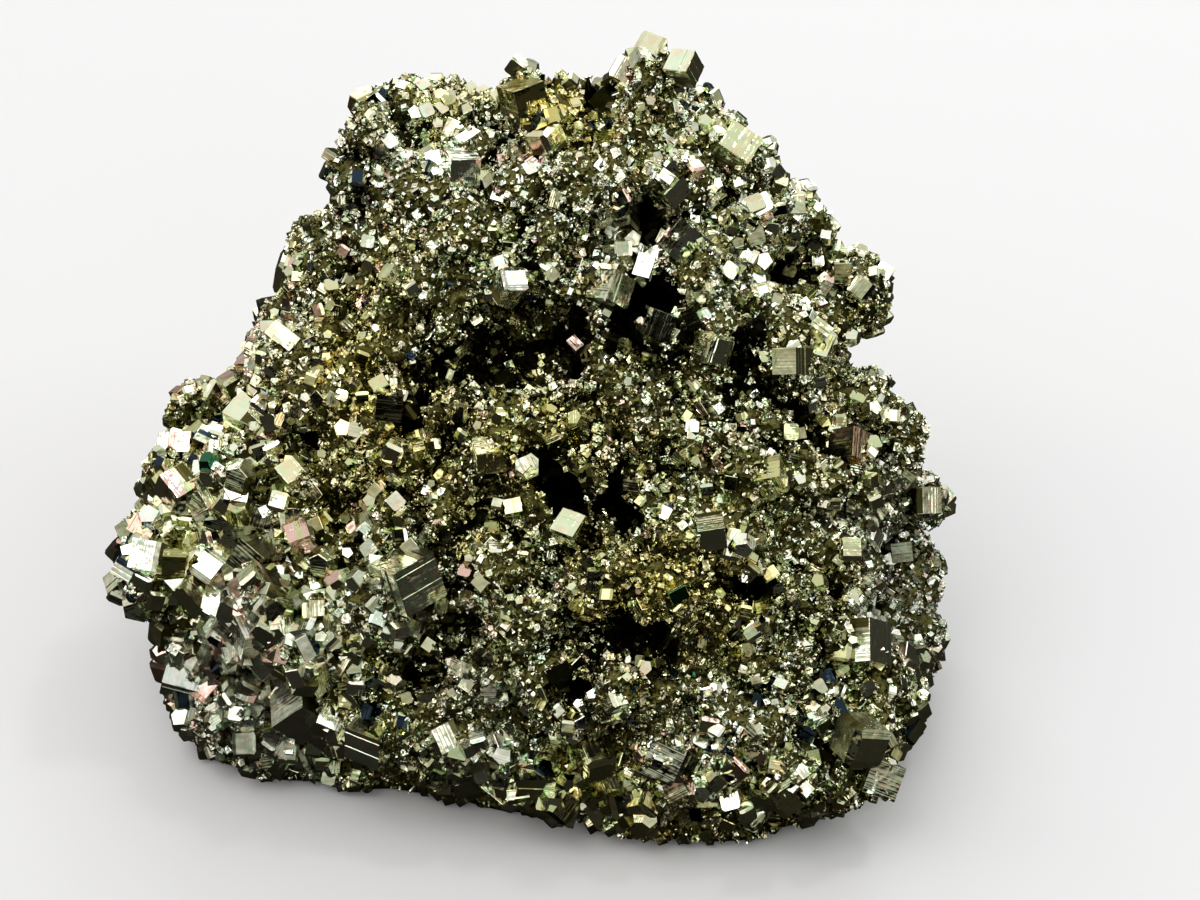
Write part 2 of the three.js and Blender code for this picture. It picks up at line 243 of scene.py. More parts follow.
def sunk_by(spots, points):
    """How far the clefts and cavities sink each point, in mm."""
    warp = np.array([noise.noise_vector(Vector(p) / WARP_BREADTH) for p in points]) * WARP
    deepest = np.zeros(len(points))
    for place, width, depth in spots:
        away = np.linalg.norm(points + warp - place, axis=1) / width
        deepest = np.maximum(deepest, depth * np.exp(-(away**2)))
    return deepest


def shape_skin(skin, spots):
    """Moves the skin in and out to knobs, lumps, clefts and cavities, and gives how far it sank."""
    points, normals = vertex_arrays(skin)
    sunk = sunk_by(spots, points)
    height = np.array([relief(p) for p in points]) - SUNK - sunk
    height *= smoothstep(*FOOT, points[:, 2] / MM)
    moved = points + normals * (height * MM)[:, None]
    moved[:, 2] = np.maximum(moved[:, 2], 0)
    skin.vertices.foreach_set("co", moved.ravel())
    skin.update()
    return sunk


# ---- How open each place is --------------------------------------------------------------

LOOKS = 10  # directions in which each place looks out
WAYS = 64  # directions that they are taken from
PLACE_STRIDE, LOOK_STRIDE = 7, 11  # steps through those from one place, and one look, to the next
LOOK_LEAN = 1.05  # how strongly the looks lean outwards
LOOK_START = 0.25  # mm out from the surface
LOOK_REACH = 9 * MM
DEEP = (0.8, 3.2)  # mm sunk between which the painted shade of a cleft or cavity grows
DEEP_SHADE = 0.42


def openness(tree, points, normals):
    """Share of the looks out from each point that meet nothing near: low in a cleft, where it brings
    painted shade.
    """
    rng = np.random.default_rng(5)
    ways = rng.normal(size=(WAYS, 3))
    ways /= np.linalg.norm(ways, axis=1)[:, None]
    free = np.empty(len(points))
    for i, (point, normal) in enumerate(zip(points, normals)):
        start = Vector(point + normal * LOOK_START * MM)
        seen = 0
        for k in range(LOOKS):
            way = ways[(i * PLACE_STRIDE + k * LOOK_STRIDE) % WAYS] + normal * LOOK_LEAN
            if tree.ray_cast(start, Vector(way), LOOK_REACH)[0] is None:
                seen += 1
        free[i] = seen / LOOKS
    return free


# ---- Crystal forms, one unit broad -------------------------------------------------------

CHIP_REACH = (0.5, 0.62)  # how far a chip's corners lie from its middle
FLAT_FACING = 0.9  # cosine past which a face is taken to face along an axis
STEP_SPREAD = 0.3  # how unevenly terraces are spaced, as a share of their breadth
STEP_RISES = (0.5, 1.5)  # least and most of a terrace's height, as a share of the usual


def one_cut(bm, geom, affect, offset):
    """Cuts edges or corners off flat."""
    bmesh.ops.bevel(
        bm, geom=geom, affect=affect, offset=offset, segments=1, profile=0.5, material=-1
    )


def cube_form(bevel=0.0):
    bm = bmesh.new()
    bmesh.ops.create_cube(bm, size=1)
    if bevel:
        one_cut(bm, bm.edges[:], "EDGES", bevel)
    return bm


def cornered_form(cut):
    """A cube with its corners cut off, by up to half of its edges."""
    bm = cube_form()
    one_cut(bm, bm.verts[:], "VERTICES", cut)
    return bm


def chip_form(corners, seed):
    """An irregular grain with flat faces between a few corners."""
    rng = np.random.default_rng(seed)
    bm = bmesh.new()
    for place in rng.normal(size=(corners, 3)):
        bm.verts.new(place / np.linalg.norm(place) * rng.uniform(*CHIP_REACH))
    bmesh.ops.convex_hull(bm, input=bm.verts)
    bmesh.ops.delete(bm, geom=[v for v in bm.verts if not v.link_faces], context="VERTS")
    return bm


def pyritohedron_form(bevel=0.0):
    """Twelve alike five-sided faces."""
    bm = bmesh.new()
    for a in (-1, 1):
        for b in (-1, 1):
            for c in (-1, 1):
                bm.verts.new((a / 3, b / 3, c / 3))
            far, near = a / 2, b / 4
            bm.verts.new((0, far, near))
            bm.verts.new((near, 0, far))
            bm.verts.new((far, near, 0))
    bmesh.ops.convex_hull(bm, input=bm.verts)
    bmesh.ops.dissolve_limit(bm, angle_limit=math.radians(1), verts=bm.verts, edges=bm.edges)
    if bevel:
        one_cut(bm, bm.edges[:], "EDGES", bevel)
    return bm


def between_form(cut=1.3):
    """A cube trimmed by a pyritohedron that is cut times as broad."""
    bm = cube_form()
    for a in (-1, 1):
        for b in (-1, 1):
            for axis in range(3):
                normal = Vector((0, 0, 0))
                normal[axis], normal[(axis + 1) % 3] = a, 2 * b
                bmesh.ops.bisect_plane(
                    bm,
                    geom=bm.verts[:] + bm.edges[:] + bm.faces[:],
                    plane_co=normal * (cut / normal.length_squared),
                    plane_no=normal,
                    clear_outer=True,
                )
                open_edges = [e for e in bm.edges if e.is_boundary]
                if open_edges:
                    bmesh.ops.holes_fill(bm, edges=open_edges)
    bmesh.ops.recalc_face_normals(bm, faces=bm.faces)
    return bm


def stepped_form(steps, rise, seed):
    """A cube whose faces grew in parallel terraces, crosswise from each face to the next."""
    rng = np.random.default_rng(seed)
    bm = cube_form()
    for axis in range(3):
        across = Vector((0, 0, 0))
        across[(axis + 2) % 3] = 1
        uneven = rng.uniform(-STEP_SPREAD, STEP_SPREAD, steps - 1)
        for cut in np.sort((np.arange(1, steps) + uneven) / steps - 0.5):
            facing = [f for f in bm.faces if abs(f.normal[axis]) > FLAT_FACING]
            around = [e for f in facing for e in f.edges] + [v for f in facing for v in f.verts]
            geom = list(dict.fromkeys(around)) + facing
            bmesh.ops.bisect_plane(bm, geom=geom, plane_co=across * cut, plane_no=across)
    for face in bm.faces[:][::2]:
        raised = bmesh.ops.extrude_discrete_faces(bm, faces=[face])["faces"]
        lift = raised[0].normal * rise * rng.uniform(*STEP_RISES)
        bmesh.ops.translate(bm, verts=raised[0].verts[:], vec=lift)
    return bm


# ---- Joining many crystals in one mesh ---------------------------------------------------

TINTED_FACES = 0.45  # share of a tinted crystal's faces that show its tint, mostly a painted reflection
CONTACT_SHADE_HEIGHTS = (-0.38, -0.02)  # heights of a face over its crystal's middle, from the most painted contact shade to none
# how much painted shade the lowest faces get
CONTACT_SHADE = 0.8
STRIATION_STRIDE, STRIATION_SPAN = 97, 40  # mm, so that no two crystals have the same ones
FACE_MARGIN = 0.12  # round each face in its crystal's part of the baking map
CRYSTAL_MARGIN = 0.06  # round each crystal in the map


class Form:
    """A crystal form as arrays, with each corner's place on its own face."""

    def __init__(self, bm):
        bm.verts.index_update()
        bm.normal_update()
        self.points = np.array([v.co for v in bm.verts])
        self.faces = [[loop.vert.index for loop in f.loops] for f in bm.faces]
        self.normals = np.array([f.normal for f in bm.faces])
        self.offsets = np.array([f.normal.dot(f.verts[0].co) for f in bm.faces])
        self.loop_points = np.concatenate(self.faces)
        self.loop_faces = np.repeat(np.arange(len(self.faces)), [len(f) for f in self.faces])
        self.across = np.array([self.flat_places(f.normal) for f in bm.faces])
        at = self.points[self.loop_points]
        sides = self.across[self.loop_faces]
        self.flat = np.stack([(at * sides[:, 0]).sum(1), (at * sides[:, 1]).sum(1)], 1)
        low = np.full((len(self.faces), 2), np.inf)
        high = -low
        np.minimum.at(low, self.loop_faces, self.flat)
        np.maximum.at(high, self.loop_faces, self.flat)
        span = np.maximum((high - low).max(1), 1e-6)
        self.cell = (self.flat - low[self.loop_faces]) / span[self.loop_faces][:, None]
        self.face_corners = np.array([len(f) for f in self.faces])
        self.face_starts = np.concatenate([[0], np.cumsum(self.face_corners)[:-1]])
        bm.free()

    @staticmethod
    def flat_places(normal):
        """Two directions on a face: along its striations, and across them."""
        main = int(np.argmax(np.abs(normal)))
        along = np.zeros(3)
        along[(main + 1) % 3] = 1
        along -= np.dot(along, normal) * np.array(normal)
        along /= np.linalg.norm(along)
        return np.stack([along, np.cross(normal, along)])

    def face_map(self):
        """The corners' places in a square where every face has a part of its own."""
        grid = math.ceil(math.sqrt(len(self.faces)))
        own = np.stack([self.loop_faces % grid, self.loop_faces // grid], 1)
        return (own + FACE_MARGIN + (1 - 2 * FACE_MARGIN) * self.cell) / grid

    def reach(self, way):
        """How far the form's surface is from its middle in one direction."""
        facing = self.normals @ np.array(way)
        return float((self.offsets[facing > 1e-6] / facing[facing > 1e-6]).min())


def random_turns(rng, count):
    """Rotation matrices spread evenly over all turns."""
    q = rng.normal(size=(count, 4))
    q /= np.linalg.norm(q, axis=1)[:, None]
    w, x, y, z = q.T
    rows = [
        [1 - 2 * (y * y + z * z), 2 * (x * y - z * w), 2 * (x * z + y * w)],
        [2 * (x * y + z * w), 1 - 2 * (x * x + z * z), 2 * (y * z - x * w)],
        [2 * (x * z - y * w), 2 * (y * z + x * w), 1 - 2 * (x * x + y * y)],
    ]
    return np.array(rows).transpose(2, 0, 1)


class Crystals:
    """Crystals to be joined: their forms, places, ways out, turns, sizes and looks."""

    def __init__(self, kinds, places, outs, turns, sizes, looks):
        self.kinds, self.places, self.outs = kinds, places, outs
        self.turns, self.sizes, self.looks = turns, sizes, looks

    def take(self, chosen):
        parts = (self.kinds, self.places, self.outs, self.turns, self.sizes)
        looks = {label: values[chosen] for label, values in self.looks.items()}
        return Crystals(*(part[chosen] for part in parts), looks)


def joined_mesh(name, forms, crystals):
    """One mesh of all the crystals, with their looks and two maps of their faces."""
    points, corners, totals, facets, cells = [], [], [], [], []
    looks = {label: [] for label in crystals.looks}
    across = math.ceil(math.sqrt(len(crystals.kinds)))
    first_point = first_crystal = 0
    rng = np.random.default_rng(51)
    for kind, form in enumerate(forms):
        group = crystals.take(crystals.kinds == kind)
        count = len(group.kinds)
        if not count:
            continue
        shape = form.points[None] * group.sizes[:, None, :]
        turned = np.einsum("nij,nvj->nvi", group.turns, shape)
        rise = np.einsum("nvi,ni->nv", turned, group.outs)[:, form.loop_points]
        depth = np.add.reduceat(rise, form.face_starts, axis=1) / form.face_corners
        depth /= group.sizes.mean(1)[:, None]
        turned += group.places[:, None]
        turned[..., 2] = np.maximum(turned[..., 2], 0)
        points.append(turned)
        starts = first_point + np.arange(count) * len(form.points)
        corners.append((starts[:, None] + form.loop_points[None]).ravel())
        totals.append(np.tile([len(f) for f in form.faces], count))
        each = {label: np.repeat(values, len(form.faces)) for label, values in group.looks.items()}
        # painted contact shade: faces low on their crystal, down among the others, are darkened
        contact_shade = CONTACT_SHADE * (1 - smoothstep(*CONTACT_SHADE_HEIGHTS, depth))
        each["dark"] = np.minimum(each["dark"] + contact_shade.ravel(), 1)
        each["tint"] *= rng.random(count * len(form.faces)) < TINTED_FACES
        for label, values in each.items():
            looks[label].append(values)
        breadth = group.sizes.mean(1)[:, None, None] / MM
        shift = (np.arange(count) * GOLDEN * STRIATION_STRIDE)[:, None, None] % STRIATION_SPAN
        facets.append((form.flat[None] * breadth + shift).reshape(-1, 2))
        index = first_crystal + np.arange(count)
        corner = np.stack([index % across, index // across], 1)[:, None]
        inner = CRYSTAL_MARGIN + (1 - 2 * CRYSTAL_MARGIN) * form.face_map()[None]
        cells.append(((corner + inner) / across).reshape(-1, 2))
        first_point += count * len(form.points)
        first_crystal += count
    return mesh_from(name, points, corners, totals, looks, {"facets": facets, "OFBake": cells})


def mesh_from(name, points, corners, totals, looks, maps):
    """A flat-shaded mesh from lists of arrays, with a look for each face and maps of the corners."""
    mesh = bpy.data.meshes.new(name)
    totals = np.concatenate(totals)
    corners = np.concatenate(corners)
    places = np.concatenate([p.reshape(-1) for p in points])
    mesh.vertices.add(len(places) // 3)
    mesh.loops.add(len(corners))
    mesh.polygons.add(len(totals))
    mesh.vertices.foreach_set("co", places)
    mesh.loops.foreach_set("vertex_index", corners)
    mesh.polygons.foreach_set("loop_start", np.concatenate([[0], np.cumsum(totals)[:-1]]))
    mesh.polygons.foreach_set("loop_total", totals)
    mesh.update(calc_edges=True)
    mesh.shade_flat()
    for label, values in looks.items():
        layer = mesh.attributes.new(label, "FLOAT", "FACE")
        layer.data.foreach_set("value", np.concatenate(values))
    for label, values in maps.items():
        layer = mesh.uv_layers.new(name=label)
        layer.data.foreach_set("uv", np.concatenate(values).ravel())
    return mesh


# ---- Setting the crystals out ------------------------------------------------------------

FLOOR_GAP = 0.25  # mm that every crystal keeps above the floor
SAMPLE_TRIES = 5  # points tried for each one kept
CUBE_KEYS = np.array([73856093, 19349663, 83492791])  # large primes, to tell the cubes apart
PATCH_BREADTH = 7 * MM  # of the patches that vary how coarse the druse is
PATCHY = 0.45
PINK, NAVY, GREEN = 0.4, 0.7, 1.0  # values of the tint look: pink and navy are painted reflections, green an odd colour
PINK_FACING = (-0.6, -0.95)  # how far the surface faces left, from the first painted pink reflection to the most
PINK_SHARE = 0.45
GREEN_FROM, GREEN_SHARE = 0.5, 0.06
SHADE_OPENINGS = (0.14, 0.46)  # opening at which crystals get full and barely any painted shade
# spreads the painted shade at random, so that some crystals in the clefts stay bright
SHADE_VARIES = 0.11
LIT_OPENS, LIT_BRIGHTENS = 0.15, 0.3  # painted light: what a bright place adds to opening, against painted shade, and to tone
LARGEST_OPENING = 0.6  # the largest crystals stand out into the light
LARGEST_TINTED = 0.06


@dataclass
class Crowd:
    """How crystals of about one size are set out, each standing clear of larger ones."""

    seed: int
    spacing: float
    breadth: tuple  # mm, least and most, before the scale
    scale: tuple  # where the druse is finest, and what is added where it is coarsest
    share: tuple  # of the places taken, in the same way
    above_floor: float  # how high the lowest stand, as a share of their breadth
    clear: float  # how far they keep from a larger crystal's middle, as a share of its breadth
    stretch: tuple  # least and most of a side, as a share of the breadth
    lift: float  # how far out of the skin, as a share of the breadth
    opened: float  # added to the opening, since larger crystals stand out into the light
    tinted: float  # share with a tint: mostly a painted pink and navy reflection, now and then an odd green
    forms: list  # share of each form


FINE = Crowd(
    seed=11, spacing=0.75 * MM, breadth=(0.6, 1.45), scale=(0.68, 0.52), share=(1, -0.45),
    above_floor=0.8, clear=0.45, stretch=(0.6, 1.25), lift=0.35, opened=0, tinted=0.01,
    forms=[0.24, 0.1, 0.17, 0.17, 0.16, 0.16],
)
MEDIUM = Crowd(
    seed=21, spacing=1.75 * MM, breadth=(1.3, 2.3), scale=(0.8, 0.5), share=(0.16, 0.75),
    above_floor=0.75, clear=0.4, stretch=(0.6, 1.25), lift=0.12, opened=0.1, tinted=0.03,
    forms=[0.22, 0.3, 0.25, 0.23],
)
COARSE = Crowd(
    seed=31, spacing=2.6 * MM, breadth=(2.1, 3.6), scale=(0.75, 0.45), share=(0.05, 0.75),
    above_floor=0.75, clear=0.6, stretch=(0.55, 1.3), lift=0, opened=0.2, tinted=0.05,
    forms=[0.28, 0.4, 0.32],
)


def surface_samples(mesh, spacing, seed):
    """About one point of the surface in each cube of space: where, which way out, how open."""
    rng = np.random.default_rng(seed)
    mesh.calc_loop_triangles()
    tris = np.empty(len(mesh.loop_triangles) * 3, dtype=np.int32)
    mesh.loop_triangles.foreach_get("vertices", tris)
    tris = tris.reshape(-1, 3)
    points, normals = vertex_arrays(mesh)
    opening = np.empty(len(points))
    mesh.attributes["opening"].data.foreach_get("value", opening)
    corners = points[tris]
    cross = np.cross(corners[:, 1] - corners[:, 0], corners[:, 2] - corners[:, 0])
    areas = np.linalg.norm(cross, axis=1) / 2
    tries = int(areas.sum() / spacing**2 * SAMPLE_TRIES)
    chosen = rng.choice(len(areas), tries, p=areas / areas.sum())
    u, v = rng.random(tries), rng.random(tries)
    over = u + v > 1
    u[over], v[over] = 1 - u[over], 1 - v[over]
    weights = np.stack([1 - u - v, u, v], 1)
    places = (corners[chosen] * weights[:, :, None]).sum(1)
    facing = (normals[tris[chosen]] * weights[:, :, None]).sum(1)
    facing /= np.linalg.norm(facing, axis=1)[:, None] + 1e-12
    open_there = (opening[tris[chosen]] * weights).sum(1)
    cubes = np.floor(places / spacing + rng.random(3)).astype(np.int64)
    keys = (cubes * CUBE_KEYS).sum(1)
    _, first = np.unique(keys, return_index=True)
    return places[first], facing[first], open_there[first]


def nearness(points, listed):
    """How much of the listed places' look each point has, from 0 to 1."""
    most = np.zeros(len(points))
    for centre, half, much in listed:
        away = (((points / MM - np.array(centre)) / np.array(half)) ** 2).sum(1)
        most = np.maximum(most, much * np.exp(-away))
    return most


def coarseness(points):
    """0 where the druse is finest, 1 where the coarse crystals crowd."""
    patches = np.array([noise.noise(Vector(p) / PATCH_BREADTH) for p in points])
    return np.clip(nearness(points, COARSE_PLACES) + PATCHY * patches, 0, 1)


def tints_for(rng, points, outs, share):
    """Mostly none. Pink, a painted reflection of a warm thing, lies where the surface looks to the
    left; navy, a painted reflection of dark surroundings, and the odd green lie anywhere.
    """
    tints = np.zeros(len(points))
    luck = rng.random(len(points))
    tints[luck < share + PINK_SHARE * smoothstep(*PINK_FACING, outs[:, 0])] = PINK
    tints[luck > 1 - share] = NAVY
    tints[(luck > GREEN_FROM) & (luck < GREEN_FROM + share * GREEN_SHARE)] = GREEN
    return tints


def hues_for(points):
    """0 where the crystals are greyest and 1 where they are most golden."""
    return 0.5 + 0.5 * (nearness(points, GOLDEN_PLACES) - nearness(points, GREY_PLACES))


def looks_for(rng, points, outs, openings, tinted):
    """The crystals' looks. A low opening gives them painted shade, as in the clefts."""
    # painted light near the bright places
    lit = nearness(points, PAINTED_LIGHT_PLACES)
    shaded = openings + LIT_OPENS * lit + rng.normal(0, SHADE_VARIES, len(openings))
    return {
        "tone": np.minimum(rng.random(len(points)) + LIT_BRIGHTENS * lit, 1),
        "tint": tints_for(rng, points, outs, tinted),
        "dark": 1 - smoothstep(*SHADE_OPENINGS, shaded),
        "hue": hues_for(points),
    }


def free_places(crowd, blocked, places, breadth):
    """Which of the places are clear of the floor and of larger crystals."""
    above = places[:, 2] > FLOOR_GAP * MM + breadth * crowd.above_floor
    return above & ~blocked(places, crowd.clear)


def fine_druse(skin, blocked):
    places, outs, openings = surface_samples(skin, FINE.spacing, FINE.seed)
    rng = np.random.default_rng(FINE.seed + 1)
    coarse = coarseness(places)
    breadth = FINE.scale[0] + FINE.scale[1] * coarse
    breadth *= rng.uniform(*FINE.breadth, len(places)) * MM
    share = FINE.share[0] + FINE.share[1] * coarse
    chosen = rng.random(len(places)) > 1 - share
    chosen &= free_places(FINE, blocked, places, breadth)
    places, outs, openings, breadth = (part[chosen] for part in (places, outs, openings, breadth))
    count = len(places)
    kinds = rng.choice(len(FINE.forms), count, p=FINE.forms)
    sizes = breadth[:, None] * rng.uniform(*FINE.stretch, (count, 3))
    raised = places + outs * (breadth * rng.uniform(0, FINE.lift, count))[:, None]
    looks = looks_for(rng, places, outs, openings + FINE.opened, FINE.tinted)
    return Crystals(kinds, raised, outs, random_turns(rng, count), sizes, looks)


def larger_crystals(crowd, skin, blocked):
    places, outs, openings = surface_samples(skin, crowd.spacing, crowd.seed)
    rng = np.random.default_rng(crowd.seed + 1)
    coarse = coarseness(places)
    scale = crowd.scale[0] + crowd.scale[1] * coarse
    breadth = rng.uniform(*crowd.breadth, len(places)) * scale * MM
    chosen = rng.random(len(places)) < crowd.share[0] + crowd.share[1] * coarse
    chosen &= free_places(crowd, blocked, places, breadth)
    places, outs, openings, breadth = (part[chosen] for part in (places, outs, openings, breadth))
    count = len(places)
    kinds = rng.choice(len(crowd.forms), count, p=crowd.forms)
    cubes = kinds == 0
    sizes = np.repeat(breadth[:, None], 3, 1)
    sizes[cubes] *= rng.uniform(*crowd.stretch, (int(cubes.sum()), 3))
    raised = places + outs * (breadth * crowd.lift)[:, None]
    looks = looks_for(rng, places, outs, openings + crowd.opened, crowd.tinted)
    return Crystals(kinds, raised, outs, random_turns(rng, count), sizes, looks)


def back_crystals():
    """The largest crystals on the back, as the solid model sets them out."""
    crystals = []
    for i in range(BACK_CRYSTALS):
        elevation = BACK_LOW + (BACK_HIGH - BACK_LOW) * (i + 0.5) / BACK_CRYSTALS
        azimuth = BACK_FROM + BACK_SPAN * (i * GOLDEN % 1)
        breadth = 3 + 2 * (i * GOLDEN * 3 % 1)
        crystals.append((azimuth, elevation, breadth, ORDER[i % 3]))
    return crystals


def largest_crystals(solid_tree):
    """The crystals of the solid model, found again by looking out from the heart."""
    plain = [Form(cube_form()), Form(pyritohedron_form()), Form(between_form())]
    kinds, places, outs, turns, sizes = [], [], [], [], []
    for i, (azimuth, elevation, breadth, form) in enumerate(LARGEST + back_crystals()):
        out = direction(azimuth, elevation)
        x, y, z = (math.radians(turn * (i + 1)) for turn in CRYSTAL_TURNS)
        turn = Matrix.Rotation(z, 3, "Z") @ Matrix.Rotation(y, 3, "Y") @ Matrix.Rotation(x, 3, "X")
        kind = ORDER.index(form)
        reach = plain[kind].reach(turn.transposed() @ out) * breadth * MM
        kinds.append(kind)
        places.append(looked_at(solid_tree, azimuth, elevation) - np.array(out) * reach)
        outs.append(out)
        turns.append(np.array(turn))
        sizes.append([breadth * MM] * 3)
    places, outs = np.array(places), np.array(outs)
    openings = np.full(len(places), LARGEST_OPENING)
    looks = looks_for(np.random.default_rng(41), places, outs, openings, LARGEST_TINTED)
    return Crystals(np.array(kinds), places, outs, np.array(turns), np.array(sizes), looks)


def occupied_by(crystals):
    """A test of whether places lie in one of the crystals, within a share of its breadth."""
    tree = kdtree.KDTree(len(crystals.places))
    for i, place in enumerate(crystals.places):
        tree.insert(place, i)
    tree.balance()
    breadths = crystals.sizes.mean(1)

    def inside(places, share):
        nearest = [tree.find(p) for p in places]
        return np.array([gap < share * breadths[i] for _, i, gap in nearest])

    return inside


# ---- Finishes ----------------------------------------------------------------------------

BRASS = [  # by tone
    (0.0, (0.42, 0.425, 0.2, 1)),
    (0.35, (0.61, 0.62, 0.42, 1)),
    (0.7, (0.74, 0.755, 0.59, 1)),
    (1.0, (0.88, 0.91, 0.84, 1)),
]
GOLD = (0.56, 0.48, 0.15, 1)
GREY = (0.47, 0.48, 0.43, 1)
STAINS = [  # faint greenish to reddish, by stain
    (0.0, (0.86, 1.0, 0.92, 1)),
    (0.4, (1.0, 1.0, 1.0, 1)),
    (0.75, (1.0, 0.97, 0.9, 1)),
    (1.0, (1.0, 0.85, 0.8, 1)),
]
REFLECTED_AND_ODD_COLOURS = [  # pink and navy painted reflections, and an odd green, by tint
    (0.0, (0.62, 0.43, 0.36, 1)),
    (0.5, (0.02, 0.032, 0.05, 1)),
    (0.85, (0.03, 0.12, 0.06, 1)),
]
# painted shade: a dark olive, and the black of the deepest painted shade
SHADED = (0.13, 0.12, 0.035, 1)
BLACK_SHADE = (0.003, 0.0025, 0.001, 1)
# Patterns: how many of their cells lie in a metre.
HUE_PATCHES, STAIN_CELLS, GRAIN, DRUSE_PATCHES, WAVES = 75.0, 950.0, 900.0, 160.0, 450.0
HUE_WANDERS = 1.3  # how far the patches move the hue
TURNS_GOLDEN, MOST_GOLDEN = (0.55, 1.0), 0.85  # hues between which gold comes in, and how much
TURNS_GREY, MOST_GREY = (0.42, 0.1), 0.75
IS_TINTED = 0.1  # tints above it show
TURNS_SHADED, TURNS_BLACK = (0.0, 0.6), (0.45, 1.0)  # by painted shade
ROUGHNESS = (0.06, 0.15)
GREY_ROUGHENS, SHADE_ROUGHENS = 0.16, 0.35
RIDGE_SLANT, RIDGE_WANDERS, RIDGE_PATCHES = 0.02, 5.0, 1.1


def new_group(name, inputs, outputs):
    """A node group with its input and output nodes. Inputs: label, kind and default."""
    group = bpy.data.node_groups.new(name, "ShaderNodeTree")
    for label, kind, value in inputs:
        socket = group.interface.new_socket(name=label, in_out="INPUT", socket_type=kind)
        if value is not None:
            socket.default_value = value
    for label, kind in outputs:
        group.interface.new_socket(name=label, in_out="OUTPUT", socket_type=kind)
    return group, group.nodes.new("NodeGroupInput"), group.nodes.new("NodeGroupOutput")


def connect(tree, node, sources):
    """Links or sets the node's inputs, each given by its label or number."""
    for socket, source in sources.items():
        if isinstance(source, bpy.types.NodeSocket):
            tree.links.new(source, node.inputs[socket])
        else:
            node.inputs[socket].default_value = source


def add(tree, kind, sources=None, **settings):
    node = tree.nodes.new(kind)
    for key, value in settings.items():
        setattr(node, key, value)
    connect(tree, node, sources or {})
    return node


def maths(tree, operation, first, second, clamp=False):
    sources = {0: first, 1: second}
    node = add(tree, "ShaderNodeMath", sources, operation=operation, use_clamp=clamp)
    return node.outputs[0]


def vector_maths(tree, operation, sources):
    return add(tree, "ShaderNodeVectorMath", sources, operation=operation).outputs[0]


def mixed(tree, factor, first, second, blend_type="MIX"):
    sources = {0: factor, 6: first, 7: second}
    node = add(tree, "ShaderNodeMix", sources, data_type="RGBA", blend_type=blend_type)
    return node.outputs[2]


def fade(tree, value, low, high, least, most):
    """The value brought from between low and high to between least and most."""
    ends = {"Value": value, "From Min": low, "From Max": high, "To Min": least, "To Max": most}
    return add(tree, "ShaderNodeMapRange", ends).outputs[0]


def spots(tree, at, scale, detail):
    """Soft noise from 0 to 1."""
    sources = {"Vector": at, "Scale": scale, "Detail": detail}
    return add(tree, "ShaderNodeTexNoise", sources).outputs["Fac"]


def ramp(tree, factor, stops, interpolation="LINEAR"):
    node = add(tree, "ShaderNodeValToRGB", {"Fac": factor})
    node.color_ramp.interpolation = interpolation
    elements = node.color_ramp.elements
    elements[0].position, elements[0].color = stops[0]
    elements[1].position, elements[1].color = stops[-1]
    for place, colour in stops[1:-1]:
        elements.new(place).color = colour
    return node.outputs["Color"]


def goldness_and_greyness(group, hue, at):
    """How golden and how grey the brass is, by the hue look and broad patches."""
    patches = maths(group, "SUBTRACT", spots(group, at, HUE_PATCHES, 4.0), 0.5)
    warmth = maths(group, "ADD", hue, maths(group, "MULTIPLY", patches, HUE_WANDERS))
    goldness = fade(group, warmth, *TURNS_GOLDEN, 0.0, MOST_GOLDEN)
    return goldness, fade(group, warmth, *TURNS_GREY, 0.0, MOST_GREY)


def stained(group, colour, at):
    """The colour shifted a little, by a different amount in each small cell."""
    sources = {"Vector": at, "Scale": STAIN_CELLS}
    cells = add(group, "ShaderNodeTexVoronoi", sources).outputs["Color"]
    stain = add(group, "ShaderNodeSeparateColor", {"Color": cells}).outputs["Red"]
    return mixed(group, 1.0, colour, ramp(group, stain, STAINS), "MULTIPLY")


def pyrite_colour_group():
    """Brass to silver by tone, a few odd colours and painted reflections by tint, and painted shade,
    nearly black, in the clefts.
    """
    group, given, result = new_group(
        "pyrite colour",
        [
            ("Vector", "NodeSocketVector", None),
            ("Tone", "NodeSocketFloat", 0.5),
            ("Tint", "NodeSocketFloat", 0.0),
            ("Dark", "NodeSocketFloat", 0.0),
            ("Hue", "NodeSocketFloat", 0.5),
        ],
        [("Color", "NodeSocketColor"), ("Roughness", "NodeSocketFloat")],
    )
    at, tint, dark = (given.outputs[label] for label in ("Vector", "Tint", "Dark"))
    goldness, greyness = goldness_and_greyness(group, given.outputs["Hue"], at)
    golden = mixed(group, goldness, ramp(group, given.outputs["Tone"], BRASS), GOLD)
    plain = stained(group, mixed(group, greyness, golden, GREY), at)
    # painted reflections: pink and navy faces, and a few odd green ones
    reflected_and_odd = ramp(group, tint, REFLECTED_AND_ODD_COLOURS, "CONSTANT")
    tinted = mixed(group, maths(group, "GREATER_THAN", tint, IS_TINTED), plain, reflected_and_odd)
    # painted shade: the colour goes to dark olive and then to black where the crystals are to look
    # shaded
    shaded = mixed(group, fade(group, dark, *TURNS_SHADED, 0.0, 1.0), tinted, SHADED)
    colour = mixed(group, fade(group, dark, *TURNS_BLACK, 0.0, 1.0), shaded, BLACK_SHADE)
    grain = fade(group, spots(group, at, GRAIN, 2.0), 0.3, 0.7, *ROUGHNESS)
    rough = maths(group, "ADD", grain, maths(group, "MULTIPLY", greyness, GREY_ROUGHENS))
    dull = maths(group, "MULTIPLY", dark, SHADE_ROUGHENS)
    dulled = maths(group, "ADD", rough, dull, clamp=True)
    connect(group, result, {"Color": colour, "Roughness": dulled})
    return group


